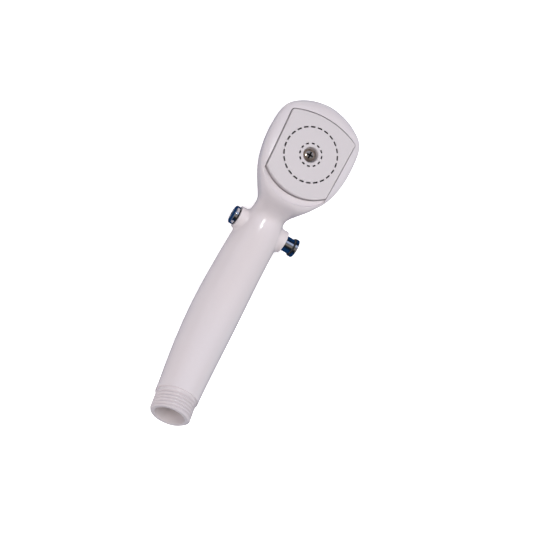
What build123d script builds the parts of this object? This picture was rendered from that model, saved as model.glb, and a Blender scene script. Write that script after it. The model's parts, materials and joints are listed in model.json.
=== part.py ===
from build123d import *
from math import atan2, cos, pi, radians, sin
import os

# Handheld shower head with a push-through pause valve.
#
# Everything is drawn in the face frame: origin at the centre of the spray face, X to the right,
# Y towards the top of the head and Z out of the spray face. Each piece is then laid down, so that
# the back of the head and the belly of the handle rest on Z = 0, with the spray face up.

# ---- driving dimensions, in mm ----

# head
EQUATOR = -6.3          # height of the widest outline of the head
BROW = -0.6             # height of the rim in front, just under the spray face

# handle, a circular arc bowed backwards
VALVE_Y = -41.05
VALVE_Z = -24.6
VALVE_LEAN = radians(14.63)
BOW = 0.0063            # radians of lean lost for each mm down the handle
HANDLE_LENGTH = 108.1   # from the valve axis to the end face of the thread

LAY_TILT = 11.2         # degrees the spray face leans back when the shower lies on its back

# hose thread, G 1/2
THREAD_R = 20.955 / 2
THREAD_PITCH = 1.814
THREAD_DEPTH = 1.162
THREAD_LENGTH = 10.9
THREAD_CHAMFER = 0.9
THREAD_RUNOUT = 1.6     # plain length left below the shoulder
THREAD_ROOT = 0.24
THREAD_MOUTH = 1.7
THREAD_OVERCUT = 0.3    # the groove's mouth is drawn this far outside the crest
SHOULDER_R = 11.15      # end of the handle above the thread
INLET_R = 8.0
INLET_OPEN = 10.9       # depth left open in front of the restrictor
INLET_DEPTH = 12.5
FLANGE_BORE_R = 7.8
CARTRIDGE_BORE_R = 7.5
CARTRIDGE_BORE_DEPTH = 27.0

# spray face plate
FACE_TOP_HALF = 18.6
FACE_TOP_Y = 16.2
FACE_TOP_APEX = 20.3
FACE_BOTTOM_HALF = 17.5
FACE_BOTTOM_Y = -15.5
FACE_BOTTOM_APEX = -22.1
FACE_CORNER = 1.5
FACE_THICK = 5.0
FACE_SKIN = 2.2         # thickness where the slots are
FACE_EDGE = 0.8
FACE_GAP = 0.4         # shadow gap round the plate
APRON_DEPTH = 3.0       # crescent sunk into the rim below the plate
APRON_APEX = -26.3
APRON_SIDE_Y = -17.2
APRON_HALF = 17.9
RIM_ROUND = 0.2
RIM_BOTTOM_Y = -27.0
RIM_TOP_Y = 22.0
SLOT_WIDTH = 0.8
SLOT_CORNER = 0.2
SLOT_FLARE = radians(12)  # the slots throw the water outwards
SLOT_OVERCUT = 0.3      # the slots' cutters run this far past the plate
SLOT_RINGS = [          # radius, number of slots, share of the ring that is open
    (14.1, 24, 0.66),
    (5.8, 12, 0.52),
]
HUB_R = 4.7
HUB_FOOT = -7.0         # height where the plate's hub lands on the centre post
PEGS = 4
PEG_R = 0.9
PEG_RING_R = 10.0

# water chamber behind the plate
CHAMBER_R = 15.0
CHAMBER_FLOOR = -15.0
LEDGE_R = 14.2
LEDGE_Z = -10.0
DISTRIBUTOR_THICK = 1.2
DISTRIBUTOR_HOLES = 16
DISTRIBUTOR_HOLE_R = 0.9
DISTRIBUTOR_RING_R = 12.2
DISTRIBUTOR_INNER_R = 7.4
FACE_SEAL_R = 16.4
FACE_SEAL_WIDE = 1.4
FACE_SEAL_TALL = 1.1

# centre screw
WELL_R = 3.9
WELL_DEPTH = 4.0
WELL_CHAMFER = 0.35
SCREW_HEAD_R = 3.25
SCREW_HEAD_TALL = 1.9
SCREW_R = 2.0
SCREW_LONG = 9.0
SCREW_SEAL_THICK = 0.5
SCREW_PLAY = 0.25
SCREW_DOME = 1.7
SCREW_POINT = 0.6
CROSS_LONG = 3.6
CROSS_WIDE = 0.9
CROSS_DEEP = 1.2
CROSS_TAPER = 12.0      # degrees
INSERT_R = 2.9
INSERT_LONG = 6.0
POST_R = 4.6

# push-through valve
BOSS_R = 5.9
BOSS_REACH = 13.9
BOSS_BLEND = 1.8
BOSS_ROUND = 0.4
SPOOL_R = 4.05
RUNNING_FIT = 0.05      # radial clearance of a piece that slides
VALVE_TRAVEL = 4.8
BUTTON_R = 4.9
BUTTON_THICK = 1.75
STOP_THICK = 0.75
STUD_R = 2.0
PORT_HALF = 1.3         # half width of the valve port, along the spool
PORT_TALL = 6.0
PORT_REACH = 7.5
STOP_R = 4.7
BUTTON_ROUND = 0.45
BUTTON_DISH_R = 3.7
BUTTON_DISH_DEEP = 0.25
BUTTON_DISH_TAPER = 50  # degrees
STUD_IN_BUTTON = 1.0
SEAL_WIDE = 1.5
SEAL_FIT = 0.02         # radial gap between a spool seal and its bore
SEAL_GROOVE = 1.6
SEAL_GROOVE_R = 2.85
WAIST_R = 2.2
WAIST_FROM = -3.0
WAIST_TO = 1.4
SPOOL_SEALS = {"left": -4.5, "middle": 2.65, "right": 6.95}
NECK_BORE_R = 4.4
NECK_BORE_FROM = 6.6    # leaves a wall round the spool
CHAMBER_ENTRY_Y = -8.0
CHAMBER_ENTRY_Z = -13.2

# check valve cartridge and flow restrictor in the inlet
FLANGE_R = 7.77
SPIGOT_R = 7.44
SPIGOT_LONG = 2.5
RESTRICTOR_HOLE_R = 2.2
RESTRICTOR_DISH_R = 5.6
DISH_TAPER = 40.0       # degrees
RESTRICTOR_GROOVE_FROM = 0.7
RESTRICTOR_GROOVE = 1.2
RESTRICTOR_GROOVE_R = 6.2
CAGE_R = 7.44
CAGE_INNER_R = 6.2
CAGE_END = 1.3
CAGE_PORTS = 6
CAGE_PORT_R = 1.3
CAGE_PORT_RING_R = 4.4
CAGE_SEAL_AT = 21.0
CAGE_SEAL_R = 6.75
CAGE_SEAL_WIDE = 1.0
SEAT_LONG = 2.0
SEAT_HOLE_R = 4.2
POPPET_R = 5.3
POPPET_THICK = 1.5
POPPET_SEAL_THICK = 0.6
POPPET_NOSE = 1.0
POPPET_PLAY = 0.3
POPPET_STEM_R = 1.2
SPRING_R = 2.7
SPRING_WIRE_R = 0.28
SPRING_TURNS = 4.0

CLEAR = 0.03            # gap between neighbours that do not bear on each other

# distance below the valve axis, radius of the round handle there
HANDLE_STATIONS = [
    (89.0, 11.45),
    (78.0, 12.05),
    (65.0, 12.65),
    (50.0, 13.0),
    (35.0, 12.85),
    (22.0, 12.5),
    (10.0, 12.15),
    (0.0, 11.3),
    (-5.0, 9.9),
    (-9.5, 9.2),
]

# distance below the valve axis, radius of the waterway there
WATERWAY_STATIONS = [
    (82.5, 5.0),
    (76.0, 6.0),
    (64.0, 7.8),
    (50.0, 8.4),
    (35.0, 8.2),
    (22.0, 7.4),
    (12.0, 6.0),
    (6.6, 4.6),
]

# height up the head, half width, then the height of its front, widest line and back,
# squareness of the front, lean in degrees
HEAD_STATIONS = [
    (-29.9, 9.9, -9.6, -17.0, -30.9, 2.1, 10.0),
    (-28.6, 10.7, -5.6, -14.0, -30.7, 2.5, 7.0),
    (-27.2, 11.8, -2.5, -11.5, -30.5, 3.0, 4.5),
    (-25.2, 13.5, -1.1, -9.3, -30.3, 3.6, 2.5),
    (-22.0, 15.8, -0.7, -7.6, -30.0, 4.3, 0.5),
    (-18.6, 18.1, BROW, -6.6, -29.7, 4.8, 0.0),
    (-13.5, 20.6, BROW, EQUATOR, -29.4, 4.8, 0.0),
    (-6.5, 22.5, BROW, EQUATOR, -29.1, 4.6, 0.0),
    (1.0, 23.4, BROW, EQUATOR, -28.6, 4.5, 0.0),
    (8.0, 23.4, BROW, EQUATOR, -27.6, 4.5, 0.0),
    (13.5, 22.9, BROW, EQUATOR, -26.0, 4.5, 0.0),
    (17.5, 21.7, BROW, EQUATOR, -24.0, 4.3, 0.0),
    (20.6, 19.3, -0.7, EQUATOR, -21.6, 3.8, 0.0),
    (23.2, 15.9, -1.2, EQUATOR, -19.0, 3.0, 0.0),
    (25.4, 11.9, -2.1, EQUATOR, -16.0, 2.5, 0.0),
    (26.9, 7.8, -3.3, -6.6, -12.9, 2.1, 0.0),
    (27.8, 3.6, -4.9, -6.8, -9.5, 2.0, 0.0),
    (28.05, 1.4, -6.0, -6.8, -7.8, 2.0, 0.0),
]
SECTION_POINTS = 24


# ---- form helpers ----

def handle_point(s):
    """Centre of the handle at s mm below the valve axis, and how far it leans forward there."""
    lean = VALVE_LEAN - BOW * s
    y = VALVE_Y - (sin(VALVE_LEAN) - sin(lean)) / BOW
    z = VALVE_Z - (cos(lean) - cos(VALVE_LEAN)) / BOW
    return y, z, lean


def cross_plane(y, z, lean):
    """Plane across the handle: X to the right, Y to the front, Z down the handle."""
    return Plane(origin=(0, y, z), x_dir=(1, 0, 0), z_dir=(0, -cos(lean), -sin(lean)))


def power(value, exponent):
    """Signed power, which draws a superellipse."""
    return (1 if value >= 0 else -1) * abs(value) ** exponent


def section(plane, half_width, front, back, square_front):
    """Smooth closed cross-section from its back round, with front and back measured from its widest line."""
    points = []
    for i in range(SECTION_POINTS):
        angle = 2 * pi * i / SECTION_POINTS - pi / 2
        reach, square = (front, square_front) if sin(angle) >= 0 else (back, 2.0)
        points.append((half_width * power(cos(angle), 2 / square), reach * power(sin(angle), 2 / square)))
    with BuildSketch(plane, mode=Mode.PRIVATE) as cut:
        with BuildLine():
            Spline(*points, periodic=True)
        make_face()
    return cut.sketch


def handle_section(s, radius):
    """Round cross-section, s mm below the valve axis."""
    return section(cross_plane(*handle_point(s)), radius, radius, radius, 2.0)


def head_section(height, half_width, front, widest, back, square_front, lean):
    """Cross-section of the head, blunt in front and round behind."""
    tilt = radians(lean)
    plane = cross_plane(height, widest, tilt)
    return section(plane, half_width, (front - widest) / cos(tilt), (widest - back) / cos(tilt), square_front)


def plate_outline(grow=0.0):
    """Outline of the spray face: tapering sides, a flat arc on top and a fuller one below."""
    with BuildSketch(mode=Mode.PRIVATE) as outline:
        with BuildLine():
            top_left = (-FACE_TOP_HALF, FACE_TOP_Y)
            top_right = (FACE_TOP_HALF, FACE_TOP_Y)
            bottom_left = (-FACE_BOTTOM_HALF, FACE_BOTTOM_Y)
            bottom_right = (FACE_BOTTOM_HALF, FACE_BOTTOM_Y)
            ThreePointArc(top_left, (0, FACE_TOP_APEX), top_right)
            Line(top_right, bottom_right)
            ThreePointArc(bottom_right, (0, FACE_BOTTOM_APEX), bottom_left)
            Line(bottom_left, top_left)
        make_face()
        fillet(outline.vertices(), radius=FACE_CORNER)
        if grow:
            offset(amount=grow)
    return outline.sketch


def apron_outline():
    """Crescent that is sunk into the rim below the spray face."""
    with BuildSketch(mode=Mode.PRIVATE) as outline:
        with BuildLine():
            left = (-APRON_HALF, APRON_SIDE_Y)
            right = (APRON_HALF, APRON_SIDE_Y)
            Polyline(left, (-FACE_BOTTOM_HALF, FACE_BOTTOM_Y + 2), (FACE_BOTTOM_HALF, FACE_BOTTOM_Y + 2), right)
            ThreePointArc(right, (0, APRON_APEX), left)
        make_face()
    return outline.sketch


def ring(plane, inner, outer, width, rounding=0.0):
    """Plain or rounded ring, centred on the plane."""
    with BuildPart() as made:
        with BuildSketch(plane):
            Circle(outer)
            Circle(inner, mode=Mode.SUBTRACT)
        extrude(amount=width / 2, both=True)
        if rounding:
            fillet(made.edges(), radius=rounding)
    return made


# ---- working planes ----

# across the inlet, Z into the handle along the thread
inlet_y, inlet_z, inlet_lean = handle_point(HANDLE_LENGTH)
INLET = Plane(origin=(0, inlet_y, inlet_z), x_dir=(1, 0, 0), z_dir=(0, cos(inlet_lean), sin(inlet_lean)))

# across the valve, Z to the right along the spool, Y up the neck
VALVE = Plane(
    origin=(0, VALVE_Y, VALVE_Z),
    x_dir=(0, sin(VALVE_LEAN), -cos(VALVE_LEAN)),
    z_dir=(1, 0, 0),
)

# along the neck, from the valve to the chamber behind the spray face
neck_rise = atan2(CHAMBER_ENTRY_Z - VALVE_Z, CHAMBER_ENTRY_Y - VALVE_Y)
neck_bore_end = (CHAMBER_ENTRY_Y - VALVE_Y) / cos(neck_rise)
NECK = Plane(origin=(0, VALVE_Y, VALVE_Z), x_dir=(1, 0, 0), z_dir=(0, cos(neck_rise), sin(neck_rise)))

SEAT_Z = -FACE_THICK

# ---- handle_body: head housing, neck, handle and hose thread in one moulding ----

with BuildPart() as thread_groove:
    groove_length = THREAD_LENGTH - THREAD_RUNOUT + THREAD_PITCH
    with BuildLine():
        Helix(THREAD_PITCH, groove_length, THREAD_R, center=(0, 0, -THREAD_PITCH))
    with BuildSketch(Plane(origin=(THREAD_R, 0, -THREAD_PITCH), x_dir=(1, 0, 0), z_dir=(0, -1, 0))):
        with BuildLine():
            Polyline(
                (-THREAD_DEPTH, -THREAD_ROOT / 2),
                (THREAD_OVERCUT, -THREAD_MOUTH / 2),
                (THREAD_OVERCUT, THREAD_MOUTH / 2),
                (-THREAD_DEPTH, THREAD_ROOT / 2),
                close=True,
            )
        make_face()
    sweep(path=thread_groove.pending_edges_as_wire, is_frenet=True)

with BuildPart() as handle_body:
    shoulder = INLET.offset(THREAD_LENGTH)
    shoulder_plane = Plane(origin=shoulder.origin, x_dir=(1, 0, 0), z_dir=-shoulder.z_dir)
    sections = [section(shoulder_plane, SHOULDER_R, SHOULDER_R, SHOULDER_R, 2.0)]
    sections += [handle_section(*station) for station in HANDLE_STATIONS]
    sections += [head_section(*station) for station in HEAD_STATIONS]
    loft(sections=sections)
    with BuildSketch(INLET):
        Circle(THREAD_R)
    extrude(amount=THREAD_LENGTH + 2)
    chamfer(handle_body.edges().filter_by(GeomType.CIRCLE).sort_by(Axis.Y)[0], length=THREAD_CHAMFER)
    # round bosses that carry the spool, blended into the neck
    with BuildSketch(VALVE):
        Circle(BOSS_R)
    extrude(amount=BOSS_REACH, both=True)
    near_valve = handle_body.edges().filter_by_position(Axis.Y, VALVE_Y - BOSS_R, VALVE_Y + BOSS_R)
    fillet(near_valve.filter_by(GeomType.BSPLINE), radius=BOSS_BLEND)
    near_valve = handle_body.edges().filter_by_position(Axis.Y, VALVE_Y - BOSS_R, VALVE_Y + BOSS_R)
    fillet(near_valve.filter_by(GeomType.CIRCLE).sort_by(Axis.X)[0], radius=BOSS_ROUND)
    near_valve = handle_body.edges().filter_by_position(Axis.Y, VALVE_Y - BOSS_R, VALVE_Y + BOSS_R)
    fillet(near_valve.filter_by(GeomType.CIRCLE).sort_by(Axis.X)[-1], radius=BOSS_ROUND)
    # seat of the face plate and the shallow crescent below it
    with BuildSketch(Plane.XY.offset(-APRON_DEPTH)):
        add(apron_outline())
    extrude(amount=APRON_DEPTH, mode=Mode.SUBTRACT)
    with BuildSketch(Plane.XY.offset(SEAT_Z)):
        add(plate_outline(FACE_GAP))
    extrude(amount=FACE_THICK, mode=Mode.SUBTRACT)
    front_edges = handle_body.edges().filter_by(GeomType.BSPLINE).filter_by_position(Axis.Z, -APRON_DEPTH, 0)
    fillet(front_edges.filter_by_position(Axis.Y, RIM_BOTTOM_Y, RIM_TOP_Y), radius=RIM_ROUND)
    # water chamber, with a ledge for the distributor
    with BuildSketch(Plane.XY.offset(SEAT_Z)):
        Circle(CHAMBER_R)
    extrude(amount=LEDGE_Z - SEAT_Z, mode=Mode.SUBTRACT)
    with BuildSketch(Plane.XY.offset(LEDGE_Z)):
        Circle(LEDGE_R)
    extrude(amount=CHAMBER_FLOOR - LEDGE_Z, mode=Mode.SUBTRACT)
    with BuildSketch(Plane.XY.offset(SEAT_Z)):
        Circle(FACE_SEAL_R + FACE_SEAL_WIDE / 2)
        Circle(FACE_SEAL_R - FACE_SEAL_WIDE / 2, mode=Mode.SUBTRACT)
    extrude(amount=-FACE_SEAL_TALL, mode=Mode.SUBTRACT)
    # waterway: handle, slotted ports either side of the spool, neck
    loft(sections=[handle_section(*station) for station in WATERWAY_STATIONS], mode=Mode.SUBTRACT)
    with BuildSketch(NECK.offset(NECK_BORE_FROM)):
        Circle(NECK_BORE_R)
    extrude(amount=neck_bore_end - NECK_BORE_FROM, mode=Mode.SUBTRACT)
    with BuildSketch(cross_plane(VALVE_Y, VALVE_Z, VALVE_LEAN)):
        Rectangle(2 * PORT_HALF, PORT_TALL)
    extrude(amount=PORT_REACH, both=True, mode=Mode.SUBTRACT)
    with BuildSketch(VALVE):
        Circle(SPOOL_R + RUNNING_FIT)
    extrude(amount=BOSS_REACH, both=True, mode=Mode.SUBTRACT)
    # centre post with the hole for its threaded insert
    with BuildSketch(Plane.XY.offset(CHAMBER_FLOOR)):
        Circle(POST_R)
    extrude(amount=HUB_FOOT - CHAMBER_FLOOR)
    with BuildSketch(Plane.XY.offset(HUB_FOOT)):
        Circle(INSERT_R)
    extrude(amount=-INSERT_LONG, mode=Mode.SUBTRACT)
    with BuildSketch(Plane.XY.offset(HUB_FOOT)):
        Circle(SCREW_R + CLEAR)
    extrude(amount=-SCREW_LONG, mode=Mode.SUBTRACT)
    # hose inlet, stepped for the restrictor and the check valve
    with BuildSketch(INLET):
        Circle(INLET_R)
    extrude(amount=INLET_OPEN, mode=Mode.SUBTRACT)
    with BuildSketch(INLET):
        Circle(FLANGE_BORE_R)
    extrude(amount=INLET_DEPTH, mode=Mode.SUBTRACT)
    with BuildSketch(INLET):
        Circle(CARTRIDGE_BORE_R)
    extrude(amount=CARTRIDGE_BORE_DEPTH, mode=Mode.SUBTRACT)
    add(INLET.location * thread_groove.part, mode=Mode.SUBTRACT)


# ---- face_plate: slotted plate with a screw well in its hub ----

def slot_planes(radius, count):
    """Planes of the slots round a circle, tipped outwards, with a gap on the centre line."""
    planes = []
    for i in range(count):
        turn = 2 * pi * (i + 0.5) / count
        outward = Vector(cos(turn), sin(turn), 0)
        across = Vector(-sin(turn), cos(turn), 0)
        tipped = outward * sin(SLOT_FLARE) + Vector(0, 0, cos(SLOT_FLARE))
        planes.append(Plane(origin=outward * radius, x_dir=across, z_dir=tipped))
    return planes


with BuildPart() as face_plate:
    with BuildSketch(Plane.XY.offset(SEAT_Z)):
        add(plate_outline())
    extrude(amount=FACE_THICK)
    fillet(face_plate.faces().sort_by(Axis.Z)[-1].edges(), radius=FACE_EDGE)
    with BuildSketch(Plane.XY.offset(SEAT_Z)):
        Circle(CHAMBER_R - SLOT_CORNER)
        Circle(HUB_R, mode=Mode.SUBTRACT)
    extrude(amount=FACE_THICK - FACE_SKIN, mode=Mode.SUBTRACT)
    with BuildSketch(Plane.XY.offset(HUB_FOOT)):
        Circle(HUB_R)
    extrude(amount=-FACE_SKIN - HUB_FOOT)
    with BuildSketch(Plane.XY.offset(-FACE_SKIN)):
        with PolarLocations(PEG_RING_R, PEGS, start_angle=180 / PEGS):
            Circle(PEG_R)
    extrude(amount=LEDGE_Z + DISTRIBUTOR_THICK + FACE_SKIN)
    for radius, count, share in SLOT_RINGS:
        with BuildSketch(*slot_planes(radius, count)):
            RectangleRounded(2 * pi * radius / count * share, SLOT_WIDTH, SLOT_CORNER)
        extrude(amount=FACE_SKIN + SLOT_OVERCUT, both=True, mode=Mode.SUBTRACT)
    with BuildSketch(Plane.XY):
        Circle(WELL_R)
    extrude(amount=-WELL_DEPTH, mode=Mode.SUBTRACT)
    chamfer(face_plate.faces().sort_by(Axis.Z)[-1].edges().filter_by(GeomType.CIRCLE), length=WELL_CHAMFER)
    with BuildSketch(Plane.XY):
        Circle(SCREW_R + SCREW_PLAY)
    extrude(amount=HUB_FOOT, mode=Mode.SUBTRACT)

# ---- face_seal: rubber ring in the groove round the chamber ----

face_seal = ring(
    Plane.XY.offset(SEAT_Z - FACE_SEAL_TALL / 2),
    FACE_SEAL_R - FACE_SEAL_WIDE / 2,
    FACE_SEAL_R + FACE_SEAL_WIDE / 2,
    FACE_SEAL_TALL,
    rounding=0.35,
)

# ---- distributor_disc: perforated disc that spreads the water behind the slots ----

with BuildPart() as distributor_disc:
    with BuildSketch(Plane.XY.offset(LEDGE_Z)):
        Circle(CHAMBER_R - CLEAR)
        Circle(POST_R + CLEAR, mode=Mode.SUBTRACT)
        with PolarLocations(DISTRIBUTOR_RING_R, DISTRIBUTOR_HOLES):
            Circle(DISTRIBUTOR_HOLE_R, mode=Mode.SUBTRACT)
        with PolarLocations(DISTRIBUTOR_INNER_R, DISTRIBUTOR_HOLES // 2):
            Circle(DISTRIBUTOR_HOLE_R, mode=Mode.SUBTRACT)
    extrude(amount=DISTRIBUTOR_THICK)

# ---- centre screw, its seal and its threaded insert ----

WELL_FLOOR = -WELL_DEPTH
HEAD_SEAT = WELL_FLOOR + SCREW_SEAL_THICK

with BuildPart() as face_screw:
    with BuildSketch(Plane.XY.offset(HEAD_SEAT)):
        Circle(SCREW_HEAD_R)
    extrude(amount=SCREW_HEAD_TALL)
    fillet(face_screw.edges().sort_by(Axis.Z)[-1], radius=SCREW_DOME)
    with BuildSketch(Plane.XY.offset(HEAD_SEAT)):
        Circle(SCREW_R)
    extrude(amount=-SCREW_LONG)
    chamfer(face_screw.edges().sort_by(Axis.Z)[0], length=SCREW_POINT)
    with BuildSketch(Plane.XY.offset(HEAD_SEAT + SCREW_HEAD_TALL)):
        Rectangle(CROSS_LONG, CROSS_WIDE)
        Rectangle(CROSS_WIDE, CROSS_LONG)
    extrude(amount=-CROSS_DEEP, taper=CROSS_TAPER, mode=Mode.SUBTRACT)

screw_seal = ring(
    Plane.XY.offset(WELL_FLOOR + SCREW_SEAL_THICK / 2),
    SCREW_R + CLEAR,
    SCREW_HEAD_R,
    SCREW_SEAL_THICK,
)
screw_insert = ring(
    Plane.XY.offset(HUB_FOOT - INSERT_LONG / 2),
    SCREW_R + CLEAR,
    INSERT_R,
    INSERT_LONG,
)

# ---- push-through valve: spool, its seals, and a stop washer and button at each end ----

LEFT_SHOULDER = -BOSS_REACH - RUNNING_FIT
RIGHT_SHOULDER = BOSS_REACH + RUNNING_FIT + VALVE_TRAVEL

with BuildPart() as valve_spool:
    with BuildSketch(VALVE.offset(LEFT_SHOULDER)):
        Circle(SPOOL_R)
    extrude(amount=RIGHT_SHOULDER - LEFT_SHOULDER)
    grooves = [(WAIST_FROM, WAIST_TO, WAIST_R)]
    for position in SPOOL_SEALS.values():
        grooves.append((position - SEAL_GROOVE / 2, position + SEAL_GROOVE / 2, SEAL_GROOVE_R))
    for start, stop, radius in grooves:
        with BuildSketch(VALVE.offset(start)):
            Circle(SPOOL_R + 1)
            Circle(radius, mode=Mode.SUBTRACT)
        extrude(amount=stop - start, mode=Mode.SUBTRACT)
    with BuildSketch(VALVE.offset(LEFT_SHOULDER - STOP_THICK - STUD_IN_BUTTON)):
        Circle(STUD_R)
    extrude(amount=RIGHT_SHOULDER - LEFT_SHOULDER + 2 * (STOP_THICK + STUD_IN_BUTTON))

spool_seals = {
    side: ring(
        VALVE.offset(position),
        SEAL_GROOVE_R,
        SPOOL_R + RUNNING_FIT - SEAL_FIT,
        SEAL_WIDE,
        rounding=0.4,
    )
    for side, position in SPOOL_SEALS.items()
}


def stop_washer(shoulder, outward):
    """Rubber washer behind a button, which lands on the boss."""
    middle = shoulder + outward * STOP_THICK / 2
    return ring(VALVE.offset(middle), STUD_R + CLEAR, STOP_R, STOP_THICK, rounding=0.2)


def button(shoulder, outward):
    """Round button screwed on the end of the spool, with a softened rim and a dished face."""
    base = VALVE.offset(shoulder + outward * STOP_THICK)
    with BuildPart() as made:
        with BuildSketch(base):
            Circle(BUTTON_R)
        extrude(amount=outward * BUTTON_THICK)
        rims = made.edges().filter_by(GeomType.CIRCLE).sort_by(Axis.X)
        fillet(rims[-1] if outward > 0 else rims[0], radius=BUTTON_ROUND)
        with BuildSketch(base):
            Circle(STUD_R + CLEAR)
        extrude(amount=outward * STUD_IN_BUTTON, mode=Mode.SUBTRACT)
        with BuildSketch(base.offset(outward * BUTTON_THICK)):
            Circle(BUTTON_DISH_R)
        extrude(amount=-outward * BUTTON_DISH_DEEP, taper=BUTTON_DISH_TAPER, mode=Mode.SUBTRACT)
    return made


# ---- flow restrictor and its seal, pushed into the inlet from the hose end ----

with BuildPart() as flow_restrictor:
    with BuildSketch(INLET.offset(INLET_OPEN)):
        Circle(FLANGE_R)
    extrude(amount=INLET_DEPTH - INLET_OPEN)
    with BuildSketch(INLET.offset(INLET_DEPTH)):
        Circle(SPIGOT_R)
    extrude(amount=SPIGOT_LONG)
    with BuildSketch(INLET.offset(INLET_OPEN)):
        Circle(RESTRICTOR_DISH_R)
    extrude(amount=INLET_DEPTH - INLET_OPEN, taper=DISH_TAPER, mode=Mode.SUBTRACT)
    with BuildSketch(INLET.offset(INLET_DEPTH)):
        Circle(RESTRICTOR_HOLE_R)
    extrude(amount=SPIGOT_LONG, mode=Mode.SUBTRACT)
    with BuildSketch(INLET.offset(INLET_DEPTH + RESTRICTOR_GROOVE_FROM)):
        Circle(CARTRIDGE_BORE_R + 1)
        Circle(RESTRICTOR_GROOVE_R, mode=Mode.SUBTRACT)
    extrude(amount=RESTRICTOR_GROOVE, mode=Mode.SUBTRACT)

restrictor_seal = ring(
    INLET.offset(INLET_DEPTH + RESTRICTOR_GROOVE_FROM + RESTRICTOR_GROOVE / 2),
    RESTRICTOR_GROOVE_R,
    CARTRIDGE_BORE_R,
    RESTRICTOR_GROOVE,
    rounding=0.35,
)

# ---- check valve: cage, seat, sprung poppet and seals ----

CAGE_FROM = INLET_DEPTH + SPIGOT_LONG
SEAT_TO = CAGE_FROM + SEAT_LONG
POPPET_FROM = SEAT_TO + RUNNING_FIT
POPPET_BACK = POPPET_FROM + POPPET_SEAL_THICK + POPPET_THICK
CAGE_FLOOR = CARTRIDGE_BORE_DEPTH - CAGE_END

with BuildPart() as check_valve_cage:
    with BuildSketch(INLET.offset(CAGE_FROM)):
        Circle(CAGE_R)
    extrude(amount=CARTRIDGE_BORE_DEPTH - CAGE_FROM)
    with BuildSketch(INLET.offset(CAGE_FROM)):
        Circle(CAGE_INNER_R)
    extrude(amount=CAGE_FLOOR - CAGE_FROM, mode=Mode.SUBTRACT)
    with BuildSketch(INLET.offset(CAGE_FLOOR)):
        Circle(POPPET_STEM_R + RUNNING_FIT)
        with PolarLocations(CAGE_PORT_RING_R, CAGE_PORTS):
            Circle(CAGE_PORT_R)
    extrude(amount=CAGE_END, mode=Mode.SUBTRACT)
    with BuildSketch(INLET.offset(CAGE_SEAL_AT - CAGE_SEAL_WIDE / 2)):
        Circle(CARTRIDGE_BORE_R + 1)
        Circle(CAGE_SEAL_R, mode=Mode.SUBTRACT)
    extrude(amount=CAGE_SEAL_WIDE, mode=Mode.SUBTRACT)

cage_seal = ring(INLET.offset(CAGE_SEAL_AT), CAGE_SEAL_R, CARTRIDGE_BORE_R, CAGE_SEAL_WIDE, rounding=0.2)
check_valve_seat = ring(INLET.offset(CAGE_FROM + SEAT_LONG / 2), SEAT_HOLE_R, CAGE_INNER_R, SEAT_LONG)

with BuildPart() as check_valve_poppet:
    with BuildSketch(INLET.offset(POPPET_FROM - POPPET_NOSE)):
        Circle(SEAT_HOLE_R - POPPET_PLAY)
    extrude(amount=POPPET_NOSE + POPPET_SEAL_THICK)
    chamfer(check_valve_poppet.edges().sort_by(Axis.Y)[0], length=POPPET_NOSE / 2)
    with BuildSketch(INLET.offset(POPPET_FROM + POPPET_SEAL_THICK)):
        Circle(POPPET_R)
    extrude(amount=POPPET_THICK)
    with BuildSketch(INLET.offset(POPPET_BACK)):
        Circle(POPPET_STEM_R)
    extrude(amount=CARTRIDGE_BORE_DEPTH - POPPET_BACK)

poppet_seal = ring(
    INLET.offset(POPPET_FROM + POPPET_SEAL_THICK / 2),
    SEAT_HOLE_R - POPPET_PLAY,
    POPPET_R,
    POPPET_SEAL_THICK,
)

with BuildPart() as check_valve_spring:
    spring_from = POPPET_BACK + SPRING_WIRE_R
    spring_length = CAGE_FLOOR - POPPET_BACK - 2 * SPRING_WIRE_R
    with BuildLine():
        Helix(spring_length / SPRING_TURNS, spring_length, SPRING_R)
    with BuildSketch(Plane(origin=(SPRING_R, 0, 0), x_dir=(1, 0, 0), z_dir=(0, -1, 0))):
        Circle(SPRING_WIRE_R)
    sweep(path=check_valve_spring.pending_edges_as_wire, is_frenet=True)

# ---- laid down on its back and written out, one file for each piece ----

pieces = {
    "handle_body": handle_body.part,
    "face_plate": face_plate.part,
    "face_seal": face_seal.part,
    "distributor_disc": distributor_disc.part,
    "face_screw": face_screw.part,
    "screw_seal": screw_seal.part,
    "screw_insert": screw_insert.part,
    "valve_spool": valve_spool.part,
    "left_button": button(LEFT_SHOULDER, -1).part,
    "right_button": button(RIGHT_SHOULDER, 1).part,
    "left_stop_washer": stop_washer(LEFT_SHOULDER, -1).part,
    "right_stop_washer": stop_washer(RIGHT_SHOULDER, 1).part,
    "flow_restrictor": flow_restrictor.part,
    "restrictor_seal": restrictor_seal.part,
    "check_valve_cage": check_valve_cage.part,
    "cage_seal": cage_seal.part,
    "check_valve_seat": check_valve_seat.part,
    "check_valve_poppet": check_valve_poppet.part,
    "poppet_seal": poppet_seal.part,
    "check_valve_spring": INLET.offset(spring_from).location * check_valve_spring.part,
}
for side, seal in spool_seals.items():
    pieces[f"spool_seal_{side}"] = seal.part

tilt = Rot(X=-LAY_TILT)
lying = (tilt * handle_body.part).bounding_box()
rest = Pos(0, -(lying.min.Y + lying.max.Y) / 2, -lying.min.Z) * tilt

os.makedirs("parts", exist_ok=True)
for name, piece in pieces.items():
    laid = rest * piece
    laid.label = name
    export_step(laid, f"parts/{name}.step")
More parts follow.
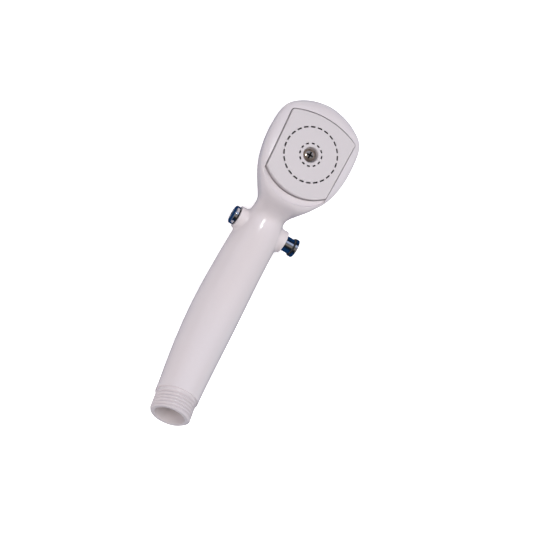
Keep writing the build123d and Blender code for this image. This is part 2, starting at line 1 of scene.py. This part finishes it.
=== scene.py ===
import bpy
import json
import math
from mathutils import Euler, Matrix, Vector


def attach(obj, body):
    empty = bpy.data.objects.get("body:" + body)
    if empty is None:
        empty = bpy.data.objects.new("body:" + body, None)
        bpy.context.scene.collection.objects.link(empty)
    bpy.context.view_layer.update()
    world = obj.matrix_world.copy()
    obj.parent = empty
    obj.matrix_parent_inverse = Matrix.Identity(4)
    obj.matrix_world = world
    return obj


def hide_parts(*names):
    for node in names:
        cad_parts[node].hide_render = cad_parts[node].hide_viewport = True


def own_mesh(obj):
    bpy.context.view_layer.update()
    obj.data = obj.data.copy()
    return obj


# A handheld shower head lying on its back on a pale floor, spray face up.

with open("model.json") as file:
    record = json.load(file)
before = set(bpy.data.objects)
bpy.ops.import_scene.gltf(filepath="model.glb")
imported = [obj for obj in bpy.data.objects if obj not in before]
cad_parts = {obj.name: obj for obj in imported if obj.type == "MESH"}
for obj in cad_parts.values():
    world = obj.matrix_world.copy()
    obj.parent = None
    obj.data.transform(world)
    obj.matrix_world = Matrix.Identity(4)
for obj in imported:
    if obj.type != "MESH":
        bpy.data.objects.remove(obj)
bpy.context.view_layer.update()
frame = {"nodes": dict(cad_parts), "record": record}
nodes = frame["nodes"]

MM = 0.001
PLASTIC_IOR = 1.52
# how far the spray face leans back as the shower head lies
FACE_TILT = math.radians(11.2)
FACE_OUT = Vector((0, math.sin(FACE_TILT), math.cos(FACE_TILT)))

# ---- colours, linear ----

WARM_WHITE = (0.735, 0.665, 0.668, 1)
COOL_WHITE = (0.705, 0.670, 0.700, 1)
FACE_WHITE = (0.655, 0.618, 0.632, 1)
FACE_SHADE = (0.640, 0.602, 0.618, 1)
CHROME = (0.74, 0.76, 0.80, 1)
STEEL = (0.60, 0.51, 0.42, 1)
BRASS = (0.70, 0.50, 0.22, 1)
ACETAL = (0.62, 0.58, 0.50, 1)
RUBBER = (0.012, 0.012, 0.013, 1)
RUBBER_DUST = (0.03, 0.03, 0.032, 1)
# painted shade for the walls of the spray slots
SLOT_PAINTED_SHADE = (0.035, 0.033, 0.034, 1)
# painted shade for the screw's cross recess
RECESS_PAINTED_SHADE = (0.02, 0.016, 0.013, 1)

# the spray slots lie between these radii, and painted shade darkens their walls between these depths
SLOTS_FROM_R, SLOTS_TO_R = 4.6 * MM, 15.6 * MM
SLOT_EDGE, SLOT_DEEP = 0.1 * MM, 0.6 * MM
# the screw's domed head, and the depths below it between which painted shade darkens its recess
DOME_R = 3.96 * MM
RECESS_EDGE, RECESS_DEEP = 0.15 * MM, 0.45 * MM

# the room round the shower head: how far up the arch from the head's horizon, colour
NAVY = (0.008, 0.042, 0.135, 1)
ROOM = [
    (0.00, NAVY),
    (0.08, (0.006, 0.018, 0.05, 1)),
    (0.19, (0.01, 0.015, 0.03, 1)),
    (0.25, (0.62, 0.72, 1.00, 1)),
    (0.33, (0.55, 0.62, 0.82, 1)),
    (0.40, (0.20, 0.20, 0.21, 1)),
    (0.53, (0.34, 0.29, 0.26, 1)),
    (0.62, (0.03, 0.03, 0.025, 1)),
    (0.73, (0.006, 0.012, 0.02, 1)),
    (0.90, NAVY),
]
# the same room out to both sides: sine of the height above the horizon, halved and centred on 0.5, colour
SIDES = [
    (0.20, NAVY),
    (0.30, (0.16, 0.18, 0.23, 1)),
    (0.44, (0.52, 0.53, 0.57, 1)),
    (0.49, (0.46, 0.47, 0.50, 1)),
    (0.51, (0.02, 0.025, 0.035, 1)),
    (0.58, (0.02, 0.025, 0.035, 1)),
    (0.66, (0.14, 0.15, 0.18, 1)),
    (0.72, (0.62, 0.66, 0.80, 1)),
    (0.82, (0.50, 0.53, 0.62, 1)),
    (0.90, (0.20, 0.20, 0.21, 1)),
]
SIDES_FROM, SIDES_FULL = 0.45, 0.75
ROOM_STRENGTH = 0.8
# what the camera sees past the edge of the floor
FAR_FLOOR = (0.81, 0.83, 0.885, 1)

# ---- lights and camera: place, aim, size, power, colour ----

LAMP_AIM = (0, 0, 0.03)
KEY_PLACE, KEY_SIZE, KEY_POWER = (0.48, 0.40, 1.05), 0.9, 9.7
KEY_COLOUR = (1.0, 0.98, 0.958)
FILL_PLACE, FILL_SIZE, FILL_POWER = (-0.70, -0.40, 0.95), 1.0, 7.5
FILL_COLOUR = (1.0, 0.935, 0.905)
STRIP_PLACE, STRIP_AIM = (-0.039, 0.084, 0.1405), (0, 0.03, 0.03)
STRIP_WIDTH, STRIP_LENGTH, STRIP_POWER = 0.0065, 0.022, 0.041
FLOOR_SIZE = 6
FLOOR_GLOW = 0.45
LENS, SENSOR = 90, 36  # mm
CAMERA_PLACE = (-0.1565, 0.0250, 0.6862)
CAMERA_TURN = (-8.795, -11.474, 30.345)  # degrees


# ---- materials ----

def principled(tree):
    """The tree's Principled shader."""
    return next(n for n in tree.nodes if n.type == "BSDF_PRINCIPLED")


def new_material(name):
    """A node material, its tree and its Principled shader."""
    material = bpy.data.materials.new(name)
    material.use_nodes = True
    tree = material.node_tree
    return material, tree, principled(tree)


def grey(level):
    """A neutral colour."""
    return (level, level, level, 1)


def own_place(tree):
    """Object coordinates, which stay with the piece when it moves."""
    return tree.nodes.new("ShaderNodeTexCoord").outputs["Object"]


def noise(tree, where, scale, detail=3.0, roughness=0.5):
    """Fractal noise, scale in cells per metre."""
    node = tree.nodes.new("ShaderNodeTexNoise")
    node.inputs["Scale"].default_value = scale
    node.inputs["Detail"].default_value = detail
    node.inputs["Roughness"].default_value = roughness
    tree.links.new(where, node.inputs["Vector"])
    return node.outputs["Fac"]


def maths(tree, operation, *values):
    """A Math node fed with numbers and sockets."""
    node = tree.nodes.new("ShaderNodeMath")
    node.operation = operation
    for socket, value in zip(node.inputs, values):
        if isinstance(value, float):
            socket.default_value = value
        else:
            tree.links.new(value, socket)
    return node.outputs["Value"]


def vector_maths(tree, operation, first, second=None, output="Vector"):
    """A Vector Math node on a socket and a fixed vector."""
    node = tree.nodes.new("ShaderNodeVectorMath")
    node.operation = operation
    tree.links.new(first, node.inputs[0])
    if second is not None:
        node.inputs[1].default_value = second
    return node.outputs[output]


def between(tree, value, low, high):
    """0 below the low end, 1 above the high end, smooth between."""
    node = tree.nodes.new("ShaderNodeMapRange")
    node.interpolation_type = "SMOOTHSTEP"
    node.inputs["From Min"].default_value = low
    node.inputs["From Max"].default_value = high
    tree.links.new(value, node.inputs["Value"])
    return node.outputs["Result"]


def ramp(tree, value, low, high, start=0.35, stop=0.65):
    """Two colours or greys blended by a value."""
    node = tree.nodes.new("ShaderNodeValToRGB")
    ends = node.color_ramp.elements
    ends[0].position, ends[1].position = start, stop
    ends[0].color, ends[1].color = low, high
    tree.links.new(value, node.inputs["Fac"])
    return node.outputs["Color"]


def many_colours(tree, value, stops):
    """A ramp with a colour at each stop."""
    node = tree.nodes.new("ShaderNodeValToRGB")
    ends = node.color_ramp.elements
    ends[0].position, ends[0].color = stops[0]
    ends[1].position, ends[1].color = stops[-1]
    for position, colour in stops[1:-1]:
        ends.new(position).color = colour
    tree.links.new(value, node.inputs["Fac"])
    return node.outputs["Color"]


def socket_of(sockets, identifier):
    """The Mix node's sockets share their names, so they are told apart by identifier."""
    return next(socket for socket in sockets if socket.identifier == identifier)


def blend(tree, share, first, second):
    """The first colour where the share is 0, the second where it is 1."""
    node = tree.nodes.new("ShaderNodeMix")
    node.data_type = "RGBA"
    tree.links.new(share, socket_of(node.inputs, "Factor_Float"))
    for identifier, colour in (("A_Color", first), ("B_Color", second)):
        socket = socket_of(node.inputs, identifier)
        if isinstance(colour, tuple):
            socket.default_value = colour
        else:
            tree.links.new(colour, socket)
    return socket_of(node.outputs, "Result_Color")


def bump(tree, shader, height, strength, distance):
    """A bump of a few hundredths of a millimetre, chained onto whatever is there."""
    node = tree.nodes.new("ShaderNodeBump")
    node.inputs["Strength"].default_value = strength
    node.inputs["Distance"].default_value = distance
    tree.links.new(height, node.inputs["Height"])
    before = shader.inputs["Normal"].links
    if before:
        tree.links.new(before[0].from_socket, node.inputs["Normal"])
    tree.links.new(node.outputs["Normal"], shader.inputs["Normal"])


def moulded_plastic(name, low, high, rough, coat, grain):
    """Injection-moulded plastic: faint tint drift, soft waviness and a fine grain."""
    material, tree, shader = new_material(name)
    where = own_place(tree)
    tint = ramp(tree, noise(tree, where, 14, 1), low, high, 0.2, 0.8)
    tree.links.new(tint, shader.inputs["Base Color"])
    shader.inputs["Roughness"].default_value = rough
    shader.inputs["IOR"].default_value = PLASTIC_IOR
    shader.inputs["Coat Weight"].default_value = coat
    shader.inputs["Coat Roughness"].default_value = 0.08
    bump(tree, shader, noise(tree, where, 40, 0), 0.25, 0.12 * MM)
    bump(tree, shader, noise(tree, where, 2600, 2), grain, 0.02 * MM)
    return material


def metal(name, colour, rough, scratch):
    """Turned or plated metal with smudges and fine turning marks."""
    material, tree, shader = new_material(name)
    where = own_place(tree)
    shader.inputs["Base Color"].default_value = colour
    shader.inputs["Metallic"].default_value = 1.0
    smudge = ramp(tree, noise(tree, where, 420, 5), grey(rough * 0.6), grey(rough * 1.7))
    tree.links.new(smudge, shader.inputs["Roughness"])
    bump(tree, shader, noise(tree, where, 5200, 2), scratch, 0.01 * MM)
    return material


def rubber(name):
    """Black moulded rubber with a dull, slightly dusty surface."""
    material, tree, shader = new_material(name)
    where = own_place(tree)
    dust = ramp(tree, noise(tree, where, 900, 4), RUBBER, RUBBER_DUST)
    tree.links.new(dust, shader.inputs["Base Color"])
    shader.inputs["Roughness"].default_value = 0.55
    bump(tree, shader, noise(tree, where, 3200, 2), 0.3, 0.03 * MM)
    return material


def paint_shade_towards(material, share, colour):
    """Paints shade: turns the base colour towards another, darker colour where the share is 1."""
    tree = material.node_tree
    socket = principled(tree).inputs["Base Color"]
    before = socket.links[0].from_socket if socket.links else tuple(socket.default_value)
    tree.links.new(blend(tree, share, before, colour), socket)


def outermost(node):
    """How far out of the face a piece reaches, and its middle, which is on the face's axis for the screw."""
    points = [v.co for v in node.data.vertices]
    middle = sum(points, Vector()) / len(points)
    return max(p.dot(FACE_OUT) for p in points), middle


def paint_slot_shade(material, plate, screw):
    """Paints shade on the walls of the spray slots, below the plate's surface and between the two radii of
    the rings.
    """
    tree = material.node_tree
    top, _ = outermost(plate)
    _, centre = outermost(screw)
    where = own_place(tree)
    height = vector_maths(tree, "DOT_PRODUCT", where, FACE_OUT, "Value")
    depth = between(tree, maths(tree, "MULTIPLY_ADD", height, -1.0, top), SLOT_EDGE, SLOT_DEEP)
    spoke = vector_maths(tree, "CROSS_PRODUCT", vector_maths(tree, "SUBTRACT", where, centre), FACE_OUT)
    radius = vector_maths(tree, "LENGTH", spoke, output="Value")
    inside = maths(tree, "GREATER_THAN", radius, SLOTS_FROM_R)
    outside = maths(tree, "LESS_THAN", radius, SLOTS_TO_R)
    share = maths(tree, "MULTIPLY", depth, maths(tree, "MULTIPLY", inside, outside))
    paint_shade_towards(material, share, SLOT_PAINTED_SHADE)


def paint_recess_shade(material, screw):
    """Paints shade into the cross recess, which lies inside the sphere of the screw's domed head."""
    tree = material.node_tree
    top, middle = outermost(screw)
    centre = middle + (top - DOME_R - middle.dot(FACE_OUT)) * FACE_OUT
    reach = vector_maths(tree, "DISTANCE", own_place(tree), centre, "Value")
    sunk = maths(tree, "MULTIPLY_ADD", reach, -1.0, DOME_R)
    paint_shade_towards(material, between(tree, sunk, RECESS_EDGE, RECESS_DEEP), RECESS_PAINTED_SHADE)


finishes = {
    "white_plastic": moulded_plastic("white_plastic", WARM_WHITE, COOL_WHITE, 0.27, 0.35, 0.05),
    "face_plastic": moulded_plastic("face_plastic", FACE_SHADE, FACE_WHITE, 0.38, 0.10, 0.12),
    "black_rubber": rubber("black_rubber"),
    "chrome": metal("chrome", CHROME, 0.07, 0.05),
    "stainless": metal("stainless", STEEL, 0.12, 0.5),
    "brass": metal("brass", BRASS, 0.25, 0.15),
    "grey_plastic": moulded_plastic("grey_plastic", ACETAL, ACETAL, 0.45, 0.0, 0.1),
}
# the stainless steel again, with painted shade in the screw's cross recess
finishes["screw_steel_painted_shade"] = metal("screw_steel_painted_shade", STEEL, 0.12, 0.5)
# painted shade on the walls of the face plate's spray slots
paint_slot_shade(finishes["face_plastic"], nodes["face_plate"], nodes["face_screw"])
paint_recess_shade(finishes["screw_steel_painted_shade"], nodes["face_screw"])
slots = {part["node"]: part["material_slot"] for part in frame["record"]["subparts"]}
for name, node in nodes.items():
    node.data.materials.clear()
    node.data.materials.append(finishes["screw_steel_painted_shade" if name == "face_screw" else slots[name]])


def lifting_coil():
    """The check valve's spring as a piece of its own on the root body, standing in for the CAD spring."""
    spring = nodes["check_valve_spring"]
    coil = bpy.data.objects.new("check_valve_coil", spring.data.copy())
    bpy.context.scene.collection.objects.link(coil)
    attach(coil, "root")
    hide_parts("check_valve_spring")
    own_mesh(coil)


lifting_coil()


# ---- floor, lights and camera ----

def make_floor():
    """A matt white floor that the gloss doesn't mirror."""
    bpy.ops.mesh.primitive_grid_add(x_subdivisions=8, y_subdivisions=8, size=FLOOR_SIZE)
    floor = bpy.context.object
    floor.name = "floor"
    material, tree, shader = new_material("floor_white")
    where = own_place(tree)
    tree.links.new(ramp(tree, noise(tree, where, 3, 2), grey(0.93), grey(0.95)), shader.inputs["Base Color"])
    shader.inputs["Roughness"].default_value = 0.9
    shader.inputs["Specular IOR Level"].default_value = 0.1
    shader.inputs["Emission Color"].default_value = grey(1.0)
    shader.inputs["Emission Strength"].default_value = FLOOR_GLOW
    floor.data.materials.append(material)
    floor.visible_glossy = False


def area_light(name, place, aim, size, power, colour=(1, 1, 1), size_y=None):
    """A square or oblong lamp that faces a point."""
    light = bpy.data.lights.new(name, "AREA")
    light.shape = "RECTANGLE"
    light.size = size
    light.size_y = size_y or size
    light.energy = power
    light.color = colour
    lamp = bpy.data.objects.new(name, light)
    bpy.context.scene.collection.objects.link(lamp)
    lamp.location = place
    lamp.rotation_euler = (Vector(aim) - Vector(place)).to_track_quat("-Z", "Y").to_euler()
    return lamp


def room():
    """A dim room for the metal to mirror, from behind the head, over the top, to below the thread."""
    world = bpy.data.worlds.new("room")
    world.use_nodes = True
    tree = world.node_tree
    split = tree.nodes.new("ShaderNodeSeparateXYZ")
    tree.links.new(tree.nodes.new("ShaderNodeTexCoord").outputs["Generated"], split.inputs["Vector"])
    x, y, z = (split.outputs[axis] for axis in "XYZ")
    arch = maths(tree, "DIVIDE", maths(tree, "ARCTAN2", z, y), math.pi)
    height = maths(tree, "MULTIPLY_ADD", z, 0.5, 0.5)
    out = between(tree, maths(tree, "ABSOLUTE", x), SIDES_FROM, SIDES_FULL)
    mirrored = blend(tree, out, many_colours(tree, arch, ROOM), many_colours(tree, height, SIDES))
    seen = tree.nodes.new("ShaderNodeLightPath").outputs["Is Camera Ray"]
    tree.links.new(blend(tree, seen, mirrored, FAR_FLOOR), tree.nodes["Background"].inputs["Color"])
    tree.nodes["Background"].inputs["Strength"].default_value = ROOM_STRENGTH
    bpy.context.scene.world = world


make_floor()
key = area_light("key_softbox", KEY_PLACE, LAMP_AIM, KEY_SIZE, KEY_POWER, KEY_COLOUR)
key.visible_glossy = False
fill = area_light("left_fill", FILL_PLACE, LAMP_AIM, FILL_SIZE, FILL_POWER, FILL_COLOUR)
fill.visible_glossy = False
# the bright streak along the neck
strip = area_light("neck_strip", STRIP_PLACE, STRIP_AIM, STRIP_WIDTH, STRIP_POWER, size_y=STRIP_LENGTH)
strip.visible_camera = False
strip.visible_diffuse = False
room()
bpy.context.scene.view_settings.view_transform = "Standard"

lens = bpy.data.cameras.new("camera")
lens.lens = LENS
lens.sensor_width = SENSOR
camera = bpy.data.objects.new("camera", lens)
bpy.context.scene.collection.objects.link(camera)
camera.location = CAMERA_PLACE
camera.rotation_euler = Euler([math.radians(a) for a in CAMERA_TURN])
bpy.context.scene.camera = camera
